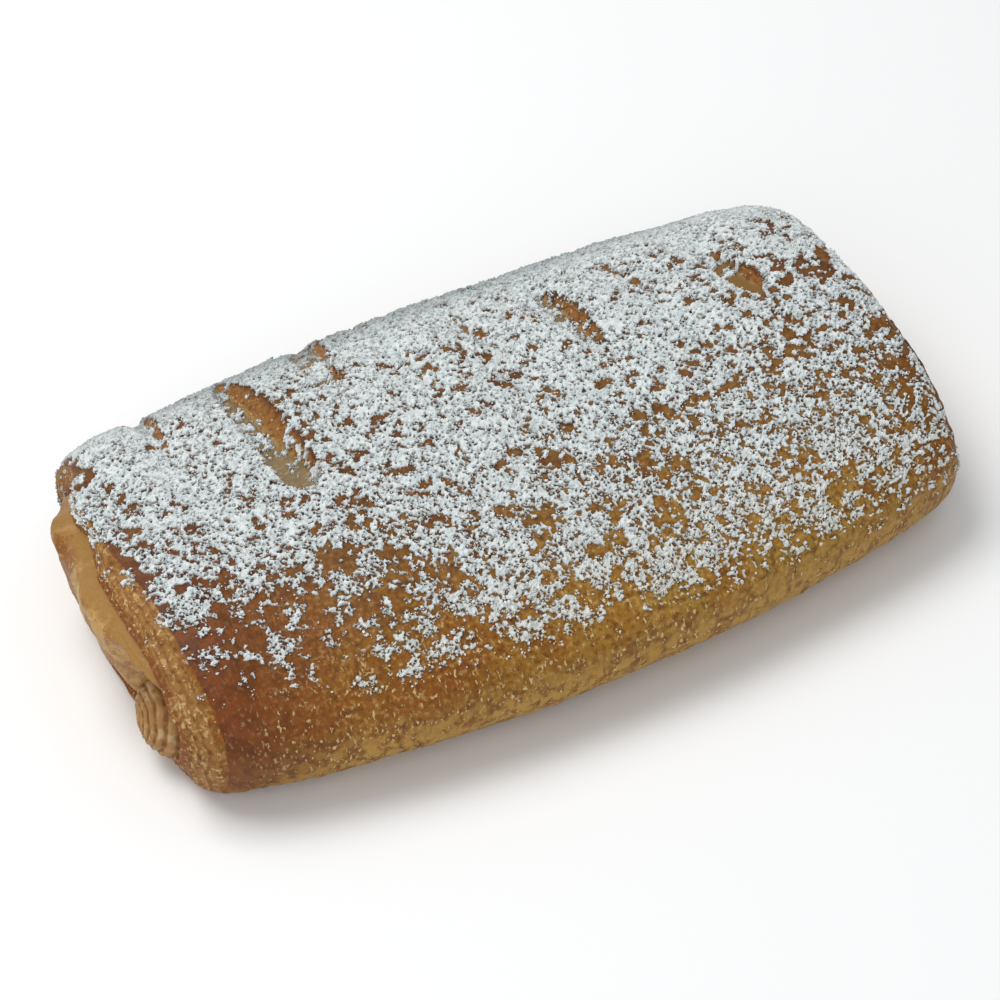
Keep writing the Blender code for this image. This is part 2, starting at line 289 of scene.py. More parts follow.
def through(points, count):
    """A smooth curve of this many points through a few named ones."""
    points = np.array(points, float)
    padded = np.vstack([2 * points[0] - points[1], points, 2 * points[-1] - points[-2]])
    at = np.linspace(0, len(points) - 1, count)
    out = []
    for value in at:
        i = min(int(value), len(points) - 2)
        t = value - i
        a, b, c, d = padded[i:i + 4]
        bend = (2 * a - 5 * b + 4 * c - d) * t ** 2 + (3 * b - a - 3 * c + d) * t ** 3
        out.append(0.5 * (2 * b + (c - a) * t + bend))
    return np.array(out)


# the cut edge at each end
LAYERS = 6                                      # layers of dough that can be told apart
CUT_ROWS = {-1: 38, 1: 20}                      # rings over the near and the far cut edge
# from the skin in to the filling, how far towards the lip the cut edge swells
CUT_PROFILE = (
    (0, 0), (0.10, 0.30), (0.30, 0.62), (0.55, 0.86), (0.76, 1.0), (0.88, 0.98), (0.97, 0.84), (1.0, 0.3))


def cut_edge(end):
    """Rings from the skin across the cut edge to the filling, with share, layer and a ragged field."""
    x = end * HALF_SPAN
    y, z, s = section(x, around)
    edge = skin_end(end, y)
    off_plan = skin[0 if end < 0 else -1] - np.array([edge, y, z]).T
    grid, marks = [], []
    for share, outward in through(CUT_PROFILE, CUT_ROWS[end] + 1)[1:]:
        yy, zz = inward(x, y, z, wall(x, y, z) * share)
        reach = edge + (lip_end(end, y, z) - edge) * outward
        ring = np.stack([reach, yy, zz], axis=1)
        # the first ring follows the uneven edge of the skin, and the next ones less and less
        ring += off_plan * (1.0 - share) ** 2
        wave = 0.5 * noise(ring, 9.0, 21)
        layer = np.sin(2 * math.pi * (LAYERS * share + wave + 0.35 * noise(ring, 2.5, 22)))
        body = smooth(0.0, 0.15, share) * smooth(1.0, 0.9, share)
        rough = 0.13 * layer + 0.20 * noise(ring, 1.6, 23) + 0.30 * noise(ring, 5.0, 24)
        ring[:, 0] += end * rough * body
        ring[:, 2] = np.maximum(ring[:, 2], 0.0)
        grid.append(ring)
        marks.append(np.stack([np.full(len(y), share), layer, noise(ring, 1.6, 26)], axis=1))
    return np.array(grid), np.array(marks)


near_cut, near_marks = cut_edge(-1)
far_cut, far_marks = cut_edge(1)
HIDDEN_RINGS = np.array([-0.88, -0.79, -0.70, -0.40, 0.0, 0.45, 0.85])      # shares of the half span


def hidden_rings(stations, gap):
    """Rings inside the roll at these stations, this far inside the sheet of pastry."""
    grid = []
    for x in stations:
        y, z, s = section(x, around)
        yy, zz = inward(x, y, z, wall(x, y, z) + gap)
        grid.append(np.stack([slid(x, y), yy, zz], axis=1))
    return np.array(grid)


inner = hidden_rings(HALF_SPAN * HIDDEN_RINGS[::-1], 0.0)
rings = np.concatenate([skin, far_cut, inner, near_cut[::-1]])


def grid_faces(rows, columns, loop_rows):
    """Quads over a grid of points whose columns close on themselves, as its rows may too."""
    i = np.arange(rows if loop_rows else rows - 1)[:, None]
    j = np.arange(columns)[None]
    a, b = i * columns, (i + 1) % rows * columns
    k = (j + 1) % columns
    return np.stack([a + j, a + k, b + k, b + j], axis=-1).reshape(-1, 4)


def mesh_piece(name, points, faces, fields):
    """Make a mesh from points in millimetres from the roll's centre, with its named fields."""
    mesh = bpy.data.meshes.new(name)
    mesh.vertices.add(len(points))
    mesh.vertices.foreach_set("co", ((points + CENTRE) * MM).astype(np.float32).ravel())
    size = faces.shape[1]
    mesh.loops.add(faces.size)
    mesh.loops.foreach_set("vertex_index", faces.astype(np.int32).ravel())
    mesh.polygons.add(len(faces))
    mesh.polygons.foreach_set("loop_start", np.arange(0, faces.size, size, dtype=np.int32))
    mesh.polygons.foreach_set("loop_total", np.full(len(faces), size, np.int32))
    mesh.update(calc_edges=True)
    mesh.validate()
    mesh.shade_smooth()
    for field, values in fields.items():
        attribute = mesh.attributes.new(field, "FLOAT", "POINT")
        attribute.data.foreach_set("value", np.asarray(values, np.float32).ravel())
    piece = bpy.data.objects.new(name, mesh)
    bpy.context.scene.collection.objects.link(piece)
    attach(piece, "root")
    return piece


rows, columns = len(rings), len(around)
skin_rows = len(skin)
skin_fields = {
    "low": low_side,
    "slash_floor": slash_floor,
    "slash_pale": slash_pale,
    "slash_slope": slash_slope,
    "slash_rise": slash_rise,
    # the crown is browned, and down the front it also carries painted shade among the sugar clumps
    "crown": (0.58 * smooth(-50, -18, skin_s) + 0.42 * smooth(-24, 4, skin_s)) * smooth(66, 50, skin_s),
    "golden": smooth(-35, 5, skin_x) * smooth(70, 50, skin_x),
    "crumbly": smooth(-30, -42, skin_s) * smooth(-66, -58, skin_s) * smooth(-78, -60, skin_x),
    "mahogany": smooth(-48, -74, skin_x) * smooth(12, -10, skin_s) * smooth(-66, -50, skin_s)}
fields = {name: np.zeros((rows, columns)) for name in ("cut", "lip", "layer", *skin_fields)}
for name, values in skin_fields.items():
    fields[name][:skin_rows] = values
far_band = slice(skin_rows, skin_rows + len(far_cut))
near_band = slice(rows - len(near_cut), rows)
near_marks = near_marks[::-1]
for band, marks in ((far_band, far_marks), (near_band, near_marks)):
    fields["lip"][band] = smooth(0.46, 0.62, marks[..., 0] + 0.05 * marks[..., 1])
    fields["layer"][band] = marks[..., 1]
fields["crown"][far_band] = smooth(12.0, 18.0, far_cut[..., 2])
fields["cut"][far_band] = smooth(0.10, 0.40, far_marks[..., 0])
fields["cut"][near_band] = smooth(0.03, 0.10, near_marks[..., 0] + 0.05 * near_marks[..., 2])
fields["cut"][far_band.stop:near_band.start] = 1.0

crust = mesh_piece(
    "pastry_crust", rings.reshape(-1, 3), grid_faces(rows, columns, True)[:, ::-1], fields)
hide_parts("pastry_wrap")


class Value:
    """A socket of a shader's nodes, with arithmetic that adds the nodes it needs."""

    def __init__(self, shader, socket):
        self.shader, self.socket = shader, socket

    def maths(self, operation, *values):
        return self.shader.add("ShaderNodeMath", {"operation": operation}, values)

    def __add__(self, other):
        return self.maths("ADD", self, other)

    def __sub__(self, other):
        return self.maths("SUBTRACT", self, other)

    def __rsub__(self, other):
        return self.maths("SUBTRACT", other, self)

    def __mul__(self, other):
        return self.maths("MULTIPLY", self, other)

    __radd__ = __add__
    __rmul__ = __mul__

    def smooth(self, low, high):
        """Rise from 0 to 1 between two edges, level at both."""
        values = {"Value": self, "From Min": low, "From Max": high}
        return self.shader.add("ShaderNodeMapRange", {"interpolation_type": "SMOOTHSTEP"}, values)

    def clamp(self):
        return self.shader.add("ShaderNodeClamp", {}, {"Value": self})


class Shader:
    """A material under construction, with one method that adds any node."""

    def __init__(self, name, roughness, specular=0.5):
        self.material = bpy.data.materials.new(name)
        self.material.use_nodes = True
        self.tree = self.material.node_tree
        self.surface = self.tree.nodes["Principled BSDF"]
        self.surface.inputs["Roughness"].default_value = roughness
        self.surface.inputs["Specular IOR Level"].default_value = specular

    def add(self, kind, settings, values, output=0):
        """Add a node; values are its sockets' values or links, by order or by name."""
        node = self.tree.nodes.new(kind)
        for name, value in settings.items():
            setattr(node, name, value)
        pairs = values.items() if isinstance(values, dict) else enumerate(values)
        for name, value in pairs:
            socket = node.inputs[name]
            if isinstance(value, Value):
                self.tree.links.new(value.socket, socket)
            else:
                socket.default_value = value
        return Value(self, node.outputs[output])

    def field(self, name):
        """A field stored on the mesh's points."""
        return self.add("ShaderNodeAttribute", {"attribute_name": name}, {}, "Fac")

    def place(self):
        return self.add("ShaderNodeTexCoord", {}, {}, "Object")

    def squeezed(self, scale):
        """The place, scaled along each axis, so that noise comes out drawn long."""
        return self.add("ShaderNodeMapping", {}, {"Vector": self.place(), "Scale": scale})

    def noise(self, size, detail, where=None):
        """Noise from 0 to 1 with features of this size in millimetres."""
        values = {"Vector": where or self.place(), "Scale": 1.0 / (size * MM), "Detail": detail}
        return self.add("ShaderNodeTexNoise", {}, values, "Fac")

    def mix(self, a, b, share):
        """Blend two colours."""
        a, b = ((*c, 1.0) if isinstance(c, tuple) else c for c in (a, b))
        return self.add("ShaderNodeMix", {"data_type": "RGBA"}, {"Factor": share, 6: a, 7: b}, 2)

    def finish(self, socket, value):
        """Link a value to the surface."""
        self.tree.links.new(value.socket, self.surface.inputs[socket])

    def bump(self, heights, distance):
        """Small relief, from heights of 0 to 1 times a distance in millimetres."""
        values = {"Height": heights, "Distance": distance * MM, "Strength": 1.0}
        self.finish("Normal", self.add("ShaderNodeBump", {}, values))


def srgb(red, green, blue):
    """A colour as it is seen, from 0 to 255, turned into the linear values that a shader takes."""
    return tuple(((c / 255 + 0.055) / 1.055) ** 2.4 if c > 10 else c / 3294.6 for c in (red, green, blue))


# browned and glazed skin: darkest on the crown and at the near end, golden where the sides turn under;
# down the front the crown's dark brown is partly painted shade among the sugar clumps
crust_shader = Shader("glazed_puff_pastry", 0.45, 0.25)
field, mix = crust_shader.field, crust_shader.mix
patches = crust_shader.noise(12.0, 3.0)
mottle = crust_shader.noise(2.4, 5.0)
mealy = crust_shader.noise(1.0, 4.0)
specks = crust_shader.noise(0.65, 2.0)
crumbs = crust_shader.noise(0.60, 2.0, crust_shader.squeezed((1.0, 0.6, 0.6)))
fibres = crust_shader.noise(1.1, 3.0, crust_shader.squeezed((1.0, 0.22, 0.22)))
low, crown, mahogany = field("low"), field("crown"), field("mahogany")
warm = mix(srgb(142, 94, 20), srgb(136, 80, 14), patches.smooth(0.42, 0.62))
mild = mix(srgb(156, 116, 42), srgb(150, 102, 30), patches.smooth(0.42, 0.62))
colour = mix(warm, mild, field("golden"))
colour = mix(colour, srgb(112, 66, 22), mottle.smooth(0.46, 0.70) * 0.55)
colour = mix(colour, srgb(194, 156, 92), mealy.smooth(0.52, 0.68) * 0.5)
colour = mix(colour, srgb(102, 58, 18), mealy.smooth(0.48, 0.34) * 0.75)
colour = mix(colour, srgb(178, 138, 62), (low * 0.95 * mottle.smooth(0.62, 0.40)).clamp())
well_done = (mottle.smooth(0.42, 0.62) * 0.7 + patches.smooth(0.4, 0.6) * 0.4).clamp()
# real browning on the crown, and down the front partly painted shade among the sugar clumps
toasted_and_shaded = mix(srgb(108, 62, 20), srgb(70, 38, 12), well_done)
colour = mix(colour, toasted_and_shaded, crown * (0.9 - patches.smooth(0.44, 0.60) * 0.25))
reddish = mix(srgb(114, 54, 6), srgb(92, 42, 6), mottle.smooth(0.4, 0.62))
colour = mix(colour, reddish, mahogany * 0.9)
flecked = field("crumbly") * mottle.smooth(0.42, 0.56) * 0.85 + 0.06
flecks = (crumbs.smooth(0.57, 0.64) * flecked).clamp()
colour = mix(colour, srgb(214, 182, 126), flecks)
colour = mix(colour, srgb(108, 70, 30), (fibres.smooth(0.54, 0.68) * low * 0.7).clamp())

# the cut edge: fine pale and brown layers, flaky on the band and darker at the lip
layer = field("layer").smooth(-0.4, 1.0)
blistered = crust_shader.noise(1.3, 5.0)
band_brown = (blistered.smooth(0.46, 0.64) * 0.6 + layer * 0.5).clamp()
band = mix(srgb(152, 108, 54), srgb(112, 68, 28), band_brown)
band = mix(band, srgb(196, 160, 112), (mealy.smooth(0.54, 0.66) * (1.1 - layer) * 0.6).clamp())
rim = mix(srgb(120, 68, 30), srgb(156, 106, 54), mealy.smooth(0.48, 0.66))
band = mix(band, rim, (field("lip") * (mottle * 0.8 + 0.5)).clamp())
band_flakes = (crumbs.smooth(0.56, 0.64) * mottle.smooth(0.42, 0.58) * 0.7).clamp()
band = mix(band, srgb(208, 176, 122), band_flakes)
colour = mix(colour, band, field("cut"))

# the slashes: a slope that browns towards its edge, and a floor of pale stretched dough
rise = field("slash_rise") + mottle * 0.5 - 0.25
slope = mix(srgb(166, 136, 86), srgb(142, 94, 38), rise.smooth(0.0, 0.40))
slope = mix(slope, srgb(108, 60, 20), (mealy.smooth(0.50, 0.62) * 0.8).clamp())
slope = mix(slope, srgb(84, 44, 16), rise.smooth(0.70, 1.0))
flakes = specks.smooth(0.57, 0.66) * mottle.smooth(0.44, 0.58)
slope = mix(slope, srgb(206, 178, 128), (flakes * 0.7).clamp())
colour = mix(colour, slope, field("slash_slope"))
pale = field("slash_pale")
stretched = mix(srgb(130, 92, 38), srgb(132, 112, 80), pale)
stretched = mix(stretched, srgb(112, 88, 56), mottle.smooth(0.45, 0.65) * 0.6)
stretched = mix(stretched, srgb(176, 158, 122), (mealy.smooth(0.52, 0.66) * pale * 0.5).clamp())
colour = mix(colour, stretched, field("slash_floor"))
# painted shade in the narrow gaps of glaze between the sugar clumps, stronger on the crown
colour = mix(colour, srgb(52, 30, 16), field("painted_gap_shade") * (0.35 + 0.45 * crown))
crust_shader.finish("Base Color", colour)
crust_shader.finish("Roughness", 0.42 + specks * 0.2 + field("cut") * 0.2)
relief = mottle * 0.5 + specks * 0.3 + flecks * 0.5 + fibres * 0.35
relief = relief + blistered * field("cut") * 0.8 + mealy * field("slash_slope")
crust_shader.bump(relief, 0.35)
crust.data.materials.append(crust_shader.material)


# ---- curled foot -------------------------------------------------------------------------------
# At the foot of the near end the lower edge of the sheet has come loose in the oven and rolled up
# into a short fat curl, baked on to the end of the wrap.  It shows its layers of dough like the
# rings of an onion.

CURL_CENTRE = np.array([-74.8, -16.6, 7.8])
CURL_REACH = np.array([7.9, 9.6, 6.6])
CURL_TURN = math.radians(-12.0)
CURL_ROWS, CURL_COLUMNS = 60, 96
CURL_LAYERS = 6.6                               # turns of the spiral from its axis to its edge
OFF_AXIS = 0.1                                  # the spiral's axis lies a little above the middle
slope = np.linspace(0.02, math.pi - 0.02, CURL_ROWS)[:, None]
turn = np.linspace(0.0, 2 * math.pi, CURL_COLUMNS, endpoint=False)[None]
out = [np.sin(slope) * np.cos(turn), np.cos(slope) * np.ones_like(turn), np.sin(slope) * np.sin(turn)]
ball = np.stack(out, axis=-1)
rolled = ball * CURL_REACH
from_axis = np.hypot(ball[..., 1], ball[..., 2] - OFF_AXIS)
way_round = np.arctan2(ball[..., 2] - OFF_AXIS, ball[..., 1]) / (2 * math.pi)
layers = np.sin(2 * math.pi * (CURL_LAYERS * from_axis + way_round + 0.16 * noise(rolled, 5.0, 81)))
rough = 0.20 * layers + 0.40 * noise(rolled, 5.0, 82) + 0.14 * noise(rolled, 1.5, 83) - 0.2
rolled = rolled + ball * rough[..., None]
cosine, sine = math.cos(CURL_TURN), math.sin(CURL_TURN)
rolled = rolled @ np.array([[cosine, sine, 0.0], [-sine, cosine, 0.0], [0.0, 0.0, 1.0]]) + CURL_CENTRE
rolled[..., 2] = np.maximum(rolled[..., 2], 0.3)
tips = np.stack([rolled[0].mean(0), rolled[-1].mean(0)])
ring = np.arange(CURL_COLUMNS)
next_in_ring = (ring + 1) % CURL_COLUMNS
last_row = (CURL_ROWS - 1) * CURL_COLUMNS
first_tip, last_tip = (np.full(CURL_COLUMNS, CURL_ROWS * CURL_COLUMNS + k) for k in range(2))
caps = np.concatenate([
    np.stack([first_tip, next_in_ring, ring], axis=1),
    np.stack([last_tip, ring + last_row, next_in_ring + last_row], axis=1)])
curl_faces = grid_faces(CURL_ROWS, CURL_COLUMNS, False)
curl_triangles = np.concatenate([curl_faces[:, [0, 1, 2]], curl_faces[:, [0, 2, 3]], caps])
curl = mesh_piece(
    "pastry_curl", np.vstack([rolled.reshape(-1, 3), tips]), curl_triangles,
    {"layer": np.append(layers, [0.0, 0.0])})

curl_shader = Shader("curled_layers", 0.6, 0.3)
lines = curl_shader.field("layer").smooth(-0.8, 0.2)
mottle = curl_shader.noise(1.5, 4.0)
pale = (lines * 0.7 + mottle.smooth(0.45, 0.6) * 0.4).clamp()
colour = curl_shader.mix(srgb(120, 74, 32), srgb(170, 130, 78), pale)
floury = (curl_shader.noise(3.0, 2.0).smooth(0.52, 0.64) * lines * 0.45).clamp()
colour = curl_shader.mix(colour, srgb(200, 178, 142), floury)
curl_shader.finish("Base Color", colour)
curl_shader.bump(mottle, 0.3)
curl.data.materials.append(curl_shader.material)


# ---- fruit filling -----------------------------------------------------------------------------
# Baked fruit with the soft inner layers of dough round it.  It runs from end to end and swells out
# of both cuts as a smooth golden cushion, paler where the lip shades it from the heat.

GAP = 0.3                                       # clear of the pastry inside the roll
NEAR_BULGE, FAR_BULGE = 83.2, 1.0               # from the middle, and past the far edge of the skin
BULGE_MIDDLE = 18.0                             # height round which the near bulge leans out
DOME_RINGS = 34
# from the rim to the middle line of an end, how far out the filling has swollen
DOME_PROFILE = ((0, 0.66), (0.03, 0.80), (0.10, 0.89), (0.26, 0.95), (0.50, 0.98), (0.80, 1.0), (1.0, 1.0))


def bulge_end(end, y, z):
    """How far out the filling swells at the far (1) or the near (-1) end."""
    if end > 0:
        return skin_end(1, y) + FAR_BULGE
    lump = 0.5 * np.sin(2 * math.pi * y / 19.0 + 1.3)
    behind_curl = 6.0 * smooth(-7, -14, y) * smooth(27, 17, z)
    leaning = (0.26 - 0.10 * smooth(6, 14, y)) * (z - BULGE_MIDDLE)
    at_back = 0.7 * smooth(0, 9, y) + 5.4 * smooth(11, 32, y) + 1.6 * smooth(20, 34, y)
    return -(NEAR_BULGE + lump + leaning - at_back - behind_curl)


def dome(end):
    """Rings over one end of the filling, from its rim to its middle line, with how far in each is."""
    x = end * HALF_SPAN
    y, z, s = section(x, around)
    thick = wall(x, y, z) + GAP
    edge = skin_end(end, y)
    grid, marks = [], []
    for share, outward in through(DOME_PROFILE, DOME_RINGS):
        yy, zz = inward(x, y, z, thick - 0.5 * smooth(0.02, 0.0, share), share)
        full = outward + (1.0 - outward) * 0.7 * smooth(6, 20, y)
        ring = np.stack([edge + (bulge_end(end, yy, zz) - edge) * full, yy, zz], axis=1)
        soft = 0.55 * noise(ring, 7.0, 41) + 0.25 * noise(ring, 2.8, 42) + 0.12 * noise(ring, 1.0, 43)
        dents = 1.2 * smooth(0.10, 0.6, noise(ring, 8.0, 44)) * smooth(0.5, 0.1, share)
        ring[:, 0] += end * (soft - 0.35 - dents) * smooth(0.1, 0.7, outward)
        grid.append(ring)
        marks.append(share + 0.10 * noise(ring, 5.0, 45) + 0.06 * noise(ring, 2.0, 46))
    return np.array(grid), np.array(marks)


near_dome, near_share = dome(-1)
far_dome, far_share = dome(1)
place = near_dome.copy()
place[..., 1] += 4.5 * noise(place, 9.0, 47) + 1.5 * noise(place, 2.5, 48)
browner = smooth(8.0, 13.0, place[..., 1]) * smooth(0.06, 0.20, near_share)
paler = np.exp(-((place[..., 1] - 4.5) / 4.5) ** 2) * smooth(0.08, 0.25, near_share)
core = hidden_rings(HALF_SPAN * HIDDEN_RINGS, GAP)
fill_rings = np.concatenate([near_dome[::-1], core, far_dome])
fill_faces = grid_faces(len(fill_rings), columns, False)[:, ::-1]
rest = np.zeros((len(core) + len(far_dome), columns))
fill_fields = {
    "inside": np.concatenate([near_share[::-1], np.zeros((len(core), columns)), far_share]),
    "browner": np.concatenate([browner[::-1], rest]),
    "paler": np.concatenate([paler[::-1], rest])}
filling = mesh_piece(
    "fruit_filling_swell", fill_rings.reshape(-1, 3), fill_faces, fill_fields)
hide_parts("fruit_filling")

fill_shader = Shader("baked_filling", 0.5, 0.3)
tone = fill_shader.noise(7.0, 2.0)
grain = fill_shader.noise(1.6, 5.0)
fine = fill_shader.noise(0.6, 2.0)
colour = fill_shader.mix(srgb(156, 106, 46), srgb(184, 144, 82), tone.smooth(0.44, 0.58))
colour = fill_shader.mix(colour, srgb(138, 84, 26), fill_shader.field("browner") * 0.9)
colour = fill_shader.mix(colour, srgb(192, 172, 114), fill_shader.field("paler") * 0.75)
colour = fill_shader.mix(colour, srgb(124, 74, 28), grain.smooth(0.50, 0.62) * 0.55)
colour = fill_shader.mix(colour, srgb(206, 182, 132), fine.smooth(0.58, 0.70) * 0.5)
inside = fill_shader.field("inside")
colour = fill_shader.mix(srgb(156, 114, 54), colour, inside.smooth(0.00, 0.12))
colour = fill_shader.mix(srgb(110, 66, 32), colour, inside.smooth(-0.22, -0.08))
fill_shader.finish("Base Color", colour)
fill_shader.bump(grain + fine * 0.5, 0.5)
filling.data.materials.append(fill_shader.material)


# ---- icing sugar -------------------------------------------------------------------------------
# Icing sugar is sieved over the crown after baking.  It sticks in crumbly clumps of about a
# millimetre, packed close on top, thinning down the front and leaving the glaze bare in places.

EDGE_ROWS = 9                                   # rows of the near cut edge that sugar can fall on
SUGAR_SIDE = 62.0                               # no sugar lies further round than this
edge_rings = near_cut[:2 * EDGE_ROWS:2][::-1]
dusted = np.concatenate([edge_rings, skin])
dusted_x = np.concatenate([edge_rings[..., 0], skin_x])
dusted_s = np.concatenate([np.repeat(skin_s[:1], EDGE_ROWS, axis=0), skin_s])
open_skin = np.concatenate([np.ones((EDGE_ROWS, columns)), 1.0 - slash_bare])
flat_skin = np.concatenate([np.ones((EDGE_ROWS, columns)), 1.0 - smooth(0.45, 0.6, slash_bare)])
top_normal = normals_of(dusted)
top_normal *= np.sign(top_normal[ALONG // 2, columns // 2, 2])


def on_skin(row, column):
    """Place, outward normal, x and s of the skin at fractional rows and columns of its grid."""
    i = np.clip(row.astype(int), 0, len(dusted) - 2)
    j = np.clip(column.astype(int), 0, columns - 2)
    u, v = (row - i)[:, None], (column - j)[:, None]

    def at(grid):
        grid = grid if grid.ndim == 3 else grid[..., None]
        front = grid[i, j] * (1 - v) + grid[i, j + 1] * v
        back = grid[i + 1, j] * (1 - v) + grid[i + 1, j + 1] * v
        return front * (1 - u) + back * u

    return at(dusted), at(top_normal), at(dusted_x)[:, 0], at(dusted_s)[:, 0]


def cover(x, s):
    """Share of the skin that the sugar covers, from 0 to 1."""
    # packed close behind full_to, then a thinner fringe down the front as far as thin_to
    full_to = -16.0 + 8.0 * smooth(-56, -66, x) + 10.0 * smooth(-15, 5, x)
    full_to = full_to - 9.0 * np.exp(-((x + 50) / 9) ** 2)
    thin_to = -46.0 + 5.0 * smooth(-5, -25, x) + 7.0 * smooth(-40, -70, x)
    top = blend(0.30 + 0.46 * smooth(-75, 20, x), 0.85, smooth(full_to - 8, full_to + 8, s))
    top = blend(top, 0.95, smooth(18, 32, s)) + 0.06 * smooth(-20, -50, x) * smooth(-22, -8, s)
    top = top + 0.15 * np.exp(-((x + 58) / 10) ** 2) * smooth(-8, 2, s) * smooth(28, 20, s)
    rise = 0.9 * smooth(thin_to - 5, thin_to + 5, s)
    rise = rise + blend(0.02, 0.1, smooth(-45, -5, x)) * smooth(-56, -44, s)
    # down the back shoulder, on the cut edge at the near end, and near the edges and corners
    back = blend(0.0, 0.8, smooth(60, 52, s)) + 0.2 * smooth(48, 40, s)
    on_band = blend(0.22 * smooth(-40, -10, s) + 0.78 * smooth(4, 14, s), 1.0, smooth(-77, -75, x))
    edges = blend(0.75, 1.0, smooth(-76, -68, x)) * blend(1.0, 0.76, smooth(58, 74, x) * smooth(12, 4, s))
    far_corner = 1.0 - smooth(62, 74, x) * smooth(-42, -50, s)
    far_front = 1.0 - 0.24 * smooth(44, 54, x) * smooth(-16, -8, s) * smooth(14, 4, s)
    near_corner = 1.0 - 0.85 * smooth(-68, -72, x) * smooth(22, 27, s)
    return top * rise * back * on_band * edges * far_corner * far_front * near_corner


def at_skin(grid, row, column):
    """A number stored on the skin's grid, read at the nearest point."""
    return grid[np.round(row).astype(int), np.clip(np.round(column).astype(int), 0, columns - 1)]


def scatter(count, seed):
    """Fractional grid places over the skin, spread evenly by area."""
    picker = np.random.default_rng(seed)
    a = dusted[1:, 1:] - dusted[:-1, :-1]
    b = dusted[1:, :-1] - dusted[:-1, 1:]
    area = 0.5 * np.linalg.norm(np.cross(a, b), axis=-1)
    area = area * (0.5 * (np.abs(dusted_s[1:, 1:]) + np.abs(dusted_s[:-1, :-1])) < SUGAR_SIDE)
    cell = picker.choice(area.size, size=count, p=(area / area.sum()).ravel())
    row = cell // area.shape[1] + picker.random(count)
    column = cell % area.shape[1] + picker.random(count)
    return row, column


CLUSTERS = (9.0, 3.4, 1.5, 0.75, 0.48)          # sizes of patches, clumps and crumbs of sugar
NOISE_SPREAD = 0.307                            # standard deviation of the noise above


def gather(points, x, s):
    """Random field, evenly spread from 0 to 1, that sorts the skin into bare and covered patches."""
    on_top = smooth(-15, 5, s)
    coarse = blend(0.9, 0.5, np.maximum(on_top, smooth(-20, 25, x))) * blend(1.0, 0.6, smooth(45, 60, x))
    strengths = np.array([
        0.5 * coarse, 0.95 * coarse, 0.75 + 0.35 * on_top, 0.75 - 0.4 * on_top, 0.45 - 0.27 * on_top])
    field = sum(strengths[k] * noise(points, size, 51 + k) for k, size in enumerate(CLUSTERS))
    return 0.5 + 0.5 * np.tanh(0.8 * field / (NOISE_SPREAD * np.sqrt(np.sum(strengths ** 2, axis=0))))


def packed(place, x, s, bareness, slack):
    """True where sugar lies: covered patches, away from the open slashes."""
    return gather(place, x, s) + slack < cover(x, s) * bareness


# painted shade: the narrow gaps of glaze left between the clumps are darkened as if the clumps shaded them
painted_gap_shade = np.zeros((rows, columns))
sugared = cover(skin_x, skin_s) * (1.0 - slash_bare) - gather(skin, skin_x, skin_s)
painted_gap_shade[:skin_rows] = smooth(-0.10, 0.12, sugared)
attribute = crust.data.attributes.new("painted_gap_shade", "FLOAT", "POINT")
attribute.data.foreach_set("value", painted_gap_shade.ravel())

# the packed layer: a fine sheet of merged bumps, which dips under the glaze wherever it is bare
PITCH = 0.36                                    # mesh of the sheet
STEP = PITCH / 0.6                              # the same, in cells of the skin below it
REACH = 104                                     # cells that it spans each way from the crown's middle
SUNK = 0.42                                     # how far below the glaze it lies where it is bare
BUMP_HEIGHT = 0.64                              # of a bump, as a share of its radius
layer_rows = np.arange(0.6, len(dusted) - 1.5, STEP)
layer_columns = np.arange(columns // 2 - REACH, columns // 2 + REACH, STEP)
grid_row, grid_column = np.meshgrid(layer_rows, layer_columns, indexing="ij")
flat_row, flat_column = grid_row.ravel(), grid_column.ravel()
place, normal, x, s = on_skin(flat_row, flat_column)
thick = np.zeros(grid_row.shape)
picker = np.random.default_rng(25)
row, column = scatter(150000, 26)
spot, _, spot_x, spot_s = on_skin(row, column)
slack = picker.uniform(-0.14, 0.14, len(row))
kept = packed(spot, spot_x, spot_s, at_skin(open_skin * flat_skin, row, column), slack)
kept = kept & (cover(spot_x, spot_s) > 0.1)
row, column = row[kept], column[kept]
size = blend(0.20, 0.42, picker.random(len(row)) ** 1.3)
size = size * blend(1.0, 1.25, smooth(-18, -4, spot_s[kept]))
level = blend(0.0, 0.24, picker.random(len(row)) ** 1.6)
i = (row - layer_rows[0]) / STEP
j = (column - layer_columns[0]) / STEP
for down, across in np.ndindex(6, 6):
    ii = np.floor(i).astype(int) + down - 2
    jj = np.floor(j).astype(int) + across - 2
    inside = (ii >= 0) & (jj >= 0) & (ii < thick.shape[0]) & (jj < thick.shape[1])
    apart = np.hypot(ii - i, jj - j) * PITCH / size
    bump = np.where(apart < 1, size * BUMP_HEIGHT * np.sqrt(np.clip(1 - apart ** 2, 0, 1)) + level, 0.0)
    np.maximum.at(thick, (ii[inside], jj[inside]), bump[inside])
margin = cover(x, s) * at_skin(open_skin, flat_row, flat_column) - gather(place, x, s)
pitted = blend(0.24, 0.12, smooth(0.05, 0.45, margin.reshape(thick.shape)))
pits = picker.random(thick.shape) < pitted
thick = np.where(pits, 0.0, thick)
solid = thick > 0
uneven_top = thick + picker.uniform(-0.05, 0.05, thick.shape)
lifted = normal.reshape(*thick.shape, 3) * np.where(solid, uneven_top, -SUNK)[..., None]
sheet = place.reshape(*thick.shape, 3) + lifted
sheet += picker.uniform(-0.10, 0.10, sheet.shape)
solid_corners = solid[:-1, :-1] * 1 + solid[1:, :-1] + solid[:-1, 1:] + solid[1:, 1:]
a = np.arange(thick.size).reshape(thick.shape)
quads = np.stack([a[:-1, :-1], a[:-1, 1:], a[1:, 1:], a[1:, :-1]], axis=-1)
used, faces = np.unique(quads[solid_corners > 1], return_inverse=True)
